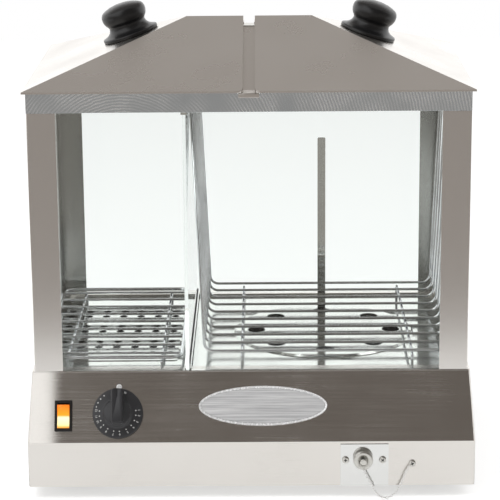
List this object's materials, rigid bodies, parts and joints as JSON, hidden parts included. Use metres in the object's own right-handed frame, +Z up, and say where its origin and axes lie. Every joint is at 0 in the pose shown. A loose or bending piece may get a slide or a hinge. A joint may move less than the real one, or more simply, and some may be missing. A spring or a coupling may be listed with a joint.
{
  "type": "hot dog steamer",
  "caption": "Counter-top hot dog steamer: glass cabinet with bun rack and wire basket, hinged hipped lids, sloping control panel, water pan and front drain.",
  "frame": {"origin": "on the counter, under the middle of the base", "axes": "+Z up, -Y to the front with the controls, +X to the right of someone facing the front"},
  "size_m": [0.47, 0.3778, 0.5021],
  "materials": {
    "brushed_sheet": "brushed",
    "polished_sheet": "polished",
    "chromed_wire": "polished",
    "zinc_steel": "satin",
    "clear_glass": "polished",
    "black_phenolic": "gloss",
    "dial_plastic": "satin",
    "switch_plastic": "satin",
    "amber_lens": "gloss",
    "black_rubber": "matte",
    "brass_pipe": "satin",
    "badge_metal": "satin"
  },
  "bodies": {
    "cabinet_body": {"base_front": "brushed_sheet", "base_left": "brushed_sheet", "base_right": "brushed_sheet", "base_rear": "brushed_sheet", "bottom_plate": "zinc_steel", "bottom_plate_screws": "zinc_steel", "rubber_feet": "black_rubber", "foot_screws": "zinc_steel", "deck_frame": "brushed_sheet", "water_pan": "brushed_sheet", "heating_element": "polished_sheet", "drain_pipe": "brass_pipe", "drain_plate": "polished_sheet", "drain_screws": "chromed_wire", "drain_chain": "chromed_wire", "thermostat_body": "zinc_steel", "thermostat_bulb": "brass_pipe", "dial_index_stud": "chromed_wire", "switch_housing": "switch_plastic", "switch_pin": "zinc_steel", "cable_gland": "black_rubber", "badge_plate": "badge_metal", "post_front_left": "polished_sheet", "post_front_right": "polished_sheet", "post_rear_left": "polished_sheet", "post_rear_right": "polished_sheet", "rail_front": "polished_sheet", "rail_rear": "polished_sheet", "rail_left": "polished_sheet", "rail_right": "polished_sheet", "glass_front": "clear_glass", "glass_rear": "clear_glass", "glass_sides": "clear_glass", "divider_glass": "clear_glass", "divider_channel": "polished_sheet", "divider_seal": "black_rubber", "divider_clips": "polished_sheet", "centre_strip": "brushed_sheet", "hinge_plate": "polished_sheet", "hinge_pins": "zinc_steel"},
    "bun_tray_body": {"bun_tray": "polished_sheet"},
    "bun_rack_body": {"bun_rack_rim": "chromed_wire", "bun_rack_wires": "chromed_wire", "bun_rack_rods": "chromed_wire"},
    "juice_tray_body": {"juice_tray": "polished_sheet", "juice_tray_handle": "polished_sheet"},
    "basket_body": {"basket_wires": "chromed_wire", "basket_rods": "chromed_wire"},
    "left_lid_body": {"left_lid": "brushed_sheet", "left_lid_knob": "black_phenolic", "left_knob_screw": "zinc_steel"},
    "right_lid_body": {"right_lid": "brushed_sheet", "right_lid_knob": "black_phenolic", "right_knob_screw": "zinc_steel"},
    "rocker_body": {"switch_rocker": "amber_lens"},
    "dial_body": {"thermostat_dial": "dial_plastic", "thermostat_shaft": "zinc_steel"},
    "cap_body": {"drain_cap": "polished_sheet", "cap_screw": "chromed_wire", "cap_ring": "chromed_wire"}
  },
  "joints": [
    {"name": "left_lid_hinge", "type": "hinge", "parent": "cabinet_body", "child": "left_lid_body", "pos_m": [-0.0077, 0.01315, 0.4785], "axis": [0, 1, 0], "range_deg": [0, 66]},
    {"name": "right_lid_hinge", "type": "hinge", "parent": "cabinet_body", "child": "right_lid_body", "pos_m": [0.0077, 0.01315, 0.4785], "axis": [0, -1, 0], "range_deg": [0, 66]},
    {"name": "rocker_tilt", "type": "hinge", "parent": "cabinet_body", "child": "rocker_body", "pos_m": [-0.1975, -0.15945, 0.08704], "axis": [-1, 0, 0], "range_deg": [0, 14]},
    {"name": "dial_turn", "type": "hinge", "parent": "cabinet_body", "child": "dial_body", "pos_m": [-0.1402, -0.16164, 0.09054], "axis": [0, 0.9004, -0.435], "range_deg": [0, 300]},
    {"name": "cap_pull", "type": "slide", "parent": "cabinet_body", "child": "cap_body", "axis": [0, -1, 0], "range_m": [0, 0.012]},
    {"name": "juice_tray_lift", "type": "slide", "parent": "cabinet_body", "child": "juice_tray_body", "axis": [0, 0, 1], "range_m": [0, 0.004]},
    {"name": "basket_lift", "type": "slide", "parent": "juice_tray_body", "child": "basket_body", "axis": [0, 0, 1], "range_m": [0, 0.008]},
    {"name": "bun_tray_lift", "type": "slide", "parent": "cabinet_body", "child": "bun_tray_body", "axis": [0, 0, 1], "range_m": [0, 0.1]},
    {"name": "bun_rack_lift", "type": "slide", "parent": "bun_tray_body", "child": "bun_rack_body", "axis": [0, 0, 1], "range_m": [0, 0.12]}
  ]
}
